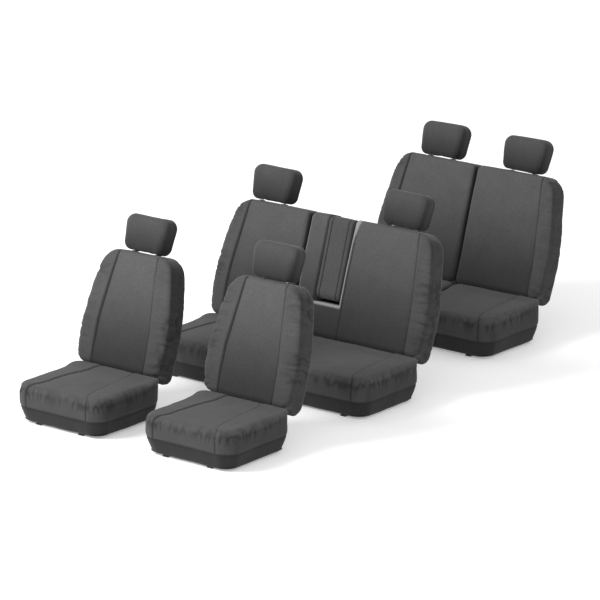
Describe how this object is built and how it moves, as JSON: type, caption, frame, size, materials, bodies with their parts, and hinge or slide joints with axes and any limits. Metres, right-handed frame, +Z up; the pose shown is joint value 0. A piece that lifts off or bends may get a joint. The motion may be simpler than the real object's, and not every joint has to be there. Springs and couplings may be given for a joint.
{
  "type": "seat cover set",
  "caption": "Fitted woven-fabric seat covers for three rows of seats, on the folding backs, sliding headrests, split benches and drop-down armrest they dress.",
  "frame": {"origin": "on the floor under the middle of the set's length and width", "axes": "+Z up; seats face -Y; +X to the left hand of a person sitting in them"},
  "size_m": [1.304, 2.9238, 0.9526],
  "materials": {
    "cover_fabric": "woven charcoal fabric",
    "foam": "dark seat foam",
    "frame_steel": "black paint",
    "bright_steel": "zinc plated",
    "elastic": "woven elastic",
    "bush_plastic": "moulded"
  },
  "bodies": {
    "seats": {"row1_left_cushion_cover": "cover_fabric", "row1_right_cushion_cover": "cover_fabric", "row2_left_cushion_cover": "cover_fabric", "row2_right_cushion_cover": "cover_fabric", "row3_left_cushion_cover": "cover_fabric", "row3_right_cushion_cover": "cover_fabric", "row1_left_cushion_foam": "foam", "row1_right_cushion_foam": "foam", "row2_left_cushion_foam": "foam", "row2_right_cushion_foam": "foam", "row3_left_cushion_foam": "foam", "row3_right_cushion_foam": "foam", "seat_pans": "frame_steel", "base_rails": "frame_steel", "hinge_pins": "bright_steel", "elastic_straps": "elastic", "strap_hooks": "bright_steel"},
    "row1_left_back": {"row1_left_back_cover": "cover_fabric", "row1_left_back_foam": "foam", "row1_left_back_frame": "frame_steel"},
    "row1_left_headrest": {"row1_left_headrest_cover": "cover_fabric", "row1_left_headrest_foam": "foam", "row1_left_headrest_posts": "bright_steel"},
    "row1_right_back": {"row1_right_back_cover": "cover_fabric", "row1_right_back_foam": "foam", "row1_right_back_frame": "frame_steel"},
    "row1_right_headrest": {"row1_right_headrest_cover": "cover_fabric", "row1_right_headrest_foam": "foam", "row1_right_headrest_posts": "bright_steel"},
    "row2_left_back": {"row2_left_back_cover": "cover_fabric", "row2_left_back_foam": "foam", "row2_left_back_frame": "frame_steel", "armrest_pin": "bright_steel"},
    "row2_left_headrest": {"row2_left_headrest_cover": "cover_fabric", "row2_left_headrest_foam": "foam", "row2_left_headrest_posts": "bright_steel"},
    "row2_right_back": {"row2_right_back_cover": "cover_fabric", "row2_right_back_foam": "foam", "row2_right_back_frame": "frame_steel"},
    "row2_right_headrest": {"row2_right_headrest_cover": "cover_fabric", "row2_right_headrest_foam": "foam", "row2_right_headrest_posts": "bright_steel"},
    "row3_left_back": {"row3_left_back_cover": "cover_fabric", "row3_left_back_foam": "foam", "row3_left_back_frame": "frame_steel"},
    "row3_left_headrest": {"row3_left_headrest_cover": "cover_fabric", "row3_left_headrest_foam": "foam", "row3_left_headrest_posts": "bright_steel"},
    "row3_right_back": {"row3_right_back_cover": "cover_fabric", "row3_right_back_foam": "foam", "row3_right_back_frame": "frame_steel"},
    "row3_right_headrest": {"row3_right_headrest_cover": "cover_fabric", "row3_right_headrest_foam": "foam", "row3_right_headrest_posts": "bright_steel"},
    "armrest": {"armrest_cover": "cover_fabric", "armrest_foam": "foam", "armrest_bush": "bush_plastic"}
  },
  "joints": [
    {"name": "row1_left_fold", "type": "hinge", "parent": "seats", "child": "row1_left_back", "pos_m": [0.386, -0.99189, 0.22], "axis": [1, 0, 0], "range_deg": [-30, 30]},
    {"name": "row1_left_headrest_lift", "type": "slide", "parent": "row1_left_back", "child": "row1_left_headrest", "axis": [0, 0.309, 0.9511], "range_m": [0, 0.06]},
    {"name": "row1_right_fold", "type": "hinge", "parent": "seats", "child": "row1_right_back", "pos_m": [-0.386, -0.99189, 0.22], "axis": [1, 0, 0], "range_deg": [-30, 30]},
    {"name": "row1_right_headrest_lift", "type": "slide", "parent": "row1_right_back", "child": "row1_right_headrest", "axis": [0, 0.309, 0.9511], "range_m": [0, 0.06]},
    {"name": "row2_left_fold", "type": "hinge", "parent": "seats", "child": "row2_left_back", "pos_m": [0.221, -0.00188, 0.229], "axis": [1, 0, 0], "range_deg": [-12, 98]},
    {"name": "row2_left_headrest_lift", "type": "slide", "parent": "row2_left_back", "child": "row2_left_headrest", "axis": [0, 0.309, 0.9511], "range_m": [0, 0.06]},
    {"name": "row2_right_fold", "type": "hinge", "parent": "seats", "child": "row2_right_back", "pos_m": [-0.364, -0.00188, 0.229], "axis": [1, 0, 0], "range_deg": [-12, 98]},
    {"name": "row2_right_headrest_lift", "type": "slide", "parent": "row2_right_back", "child": "row2_right_headrest", "axis": [0, 0.309, 0.9511], "range_m": [0, 0.06]},
    {"name": "row3_left_fold", "type": "hinge", "parent": "seats", "child": "row3_left_back", "pos_m": [0.2355, 1.16111, 0.237], "axis": [1, 0, 0], "range_deg": [-10, 98]},
    {"name": "row3_left_headrest_lift", "type": "slide", "parent": "row3_left_back", "child": "row3_left_headrest", "axis": [0, 0.309, 0.9511], "range_m": [0, 0.06]},
    {"name": "row3_right_fold", "type": "hinge", "parent": "seats", "child": "row3_right_back", "pos_m": [-0.2355, 1.16111, 0.237], "axis": [1, 0, 0], "range_deg": [-10, 98]},
    {"name": "row3_right_headrest_lift", "type": "slide", "parent": "row3_right_back", "child": "row3_right_headrest", "axis": [0, 0.309, 0.9511], "range_m": [0, 0.06]},
    {"name": "armrest_fold", "type": "hinge", "parent": "row2_left_back", "child": "armrest", "pos_m": [0.052, 0.06442, 0.40881], "axis": [-1, 0, 0], "range_deg": [-100, 0]}
  ]
}
